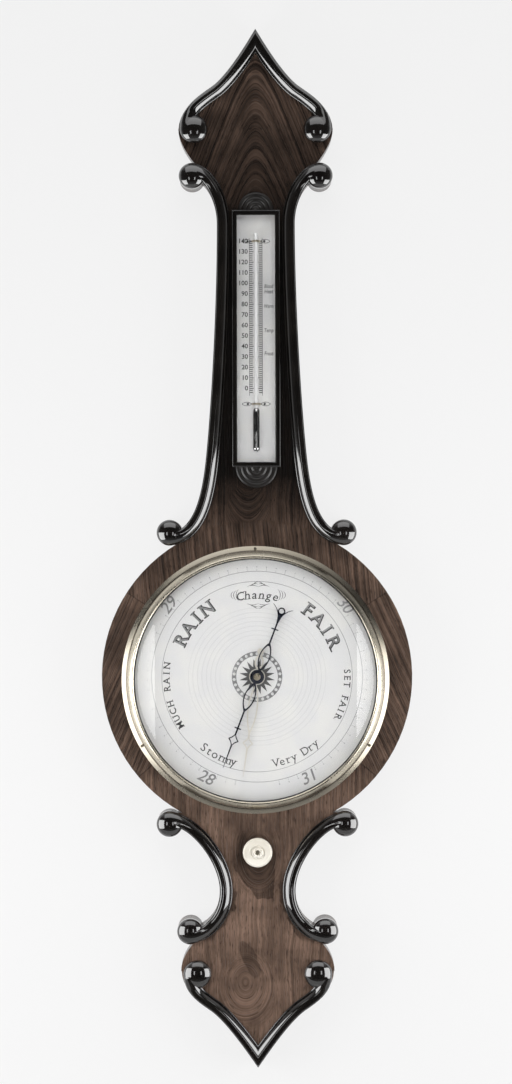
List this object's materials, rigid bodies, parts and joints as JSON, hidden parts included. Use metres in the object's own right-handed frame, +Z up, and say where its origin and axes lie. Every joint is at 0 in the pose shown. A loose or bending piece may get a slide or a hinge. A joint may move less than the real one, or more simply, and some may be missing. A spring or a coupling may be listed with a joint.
{
  "type": "banjo barometer",
  "caption": "Wall-hung wheel barometer in a scrolled wooden case: round glazed dial, pressure hand, set hand worked by a knob, thermometer above, hinged door at the back.",
  "frame": {"origin": "centre of the hanging hole, on the wall plane", "axes": "+Z up the case, +Y into the wall, so the dial faces -Y and +X is to the viewer's right"},
  "size_m": [0.3166, 0.0499, 1.0595],
  "materials": {
    "rosewood": "dark veneer under French polish",
    "ebonised": "black polished moulding",
    "silvered": "silvered brass with engraved lettering",
    "brass": "turned and lacquered",
    "blued_steel": "heat-blued",
    "bone": "turned white bone",
    "putty": "dry putty",
    "clear_glass": "clear",
    "weight_glass": "solid glass",
    "mercury": "liquid metal",
    "pine": "bare softwood",
    "cork": "cut cork",
    "thread": "waxed thread"
  },
  "bodies": {
    "case": {"case_carcass": "rosewood", "front_veneer": "rosewood", "crest_moulding_left": "ebonised", "crest_moulding_right": "ebonised", "trunk_moulding_left": "ebonised", "trunk_moulding_right": "ebonised", "waist_moulding_left": "ebonised", "waist_moulding_right": "ebonised", "base_moulding_left": "ebonised", "base_moulding_right": "ebonised", "fan_ornaments": "ebonised", "thermometer_frame": "ebonised", "thermometer_glass": "clear_glass", "thermometer_scale": "silvered", "thermometer_tube": "clear_glass", "thermometer_mercury": "mercury", "thermometer_clips": "brass", "dial_plate": "silvered", "dial_bush": "brass", "bezel": "brass", "dial_glass": "clear_glass", "glass_putty": "putty", "bezel_pins": "brass", "movement_bridge": "brass", "movement_screws": "brass", "rod_brackets": "brass", "knob_bush": "brass", "siphon_tube": "clear_glass", "siphon_mercury": "mercury", "float_mercury": "mercury", "counterweight_tube": "clear_glass", "tube_straps": "pine", "tube_corks": "cork", "hanging_plate": "brass", "case_screws": "brass", "back_slip_upper": "pine", "back_slip_lower": "pine", "hinge_case_leaves": "brass", "hinge_pins": "brass", "button_screw": "brass"},
    "hand": {"pressure_hand": "blued_steel", "hand_cap": "brass", "hand_arbor": "blued_steel", "thread_pulley": "brass"},
    "indicator": {"set_hand": "brass", "set_pipe": "brass", "set_wheel": "brass"},
    "rod": {"set_rod": "blued_steel", "rod_pinions": "brass"},
    "knob": {"set_knob": "bone", "knob_arbor": "brass", "knob_wheel": "brass"},
    "float": {"float_weight": "weight_glass", "float_thread": "thread"},
    "counter": {"counterweight": "weight_glass", "counter_thread": "thread"},
    "door": {"back_door": "pine", "hinge_door_leaves": "brass"},
    "button": {"door_button": "brass"}
  },
  "joints": [
    {"name": "pressure_hand_turn", "type": "hinge", "parent": "case", "child": "hand", "pos_m": [0, -0.0386, -0.56], "axis": [0, 1, 0], "range_deg": [-5, 312]},
    {"name": "float_slide", "type": "slide", "parent": "case", "child": "float", "axis": [0, 0, 1], "range_m": [-0.039, 0.001], "deforming": ["float_thread", "float_mercury"]},
    {"name": "counterweight_slide", "type": "slide", "parent": "case", "child": "counter", "axis": [0, 0, 1], "range_m": [-0.001, 0.039], "deforming": ["counter_thread"]},
    {"name": "knob_turn", "type": "hinge", "parent": "case", "child": "knob", "pos_m": [0, -0.036, -0.7388], "axis": [0, 1, 0], "continuous": true},
    {"name": "rod_turn", "type": "hinge", "parent": "case", "child": "rod", "pos_m": [0, -0.0204, -0.65], "axis": [0, 0, 1], "continuous": true},
    {"name": "set_hand_turn", "type": "hinge", "parent": "case", "child": "indicator", "pos_m": [0, -0.0356, -0.56], "axis": [0, 1, 0], "continuous": true},
    {"name": "door_swing", "type": "hinge", "parent": "case", "child": "door", "pos_m": [0.049, -0.002, -0.56], "axis": [0, 0, -1], "range_deg": [0, 100]},
    {"name": "button_turn", "type": "hinge", "parent": "case", "child": "button", "pos_m": [-0.0535, -0.002, -0.56], "axis": [0, 1, 0], "range_deg": [0, 90]}
  ],
  "couplings": [
    {"joint": "float_slide", "follows": "pressure_hand_turn", "m_per_rad": -0.00714},
    {"joint": "counterweight_slide", "follows": "pressure_hand_turn", "m_per_rad": 0.00714},
    {"joint": "rod_turn", "follows": "knob_turn", "ratio": 3.2},
    {"joint": "set_hand_turn", "follows": "knob_turn", "ratio": -1}
  ]
}
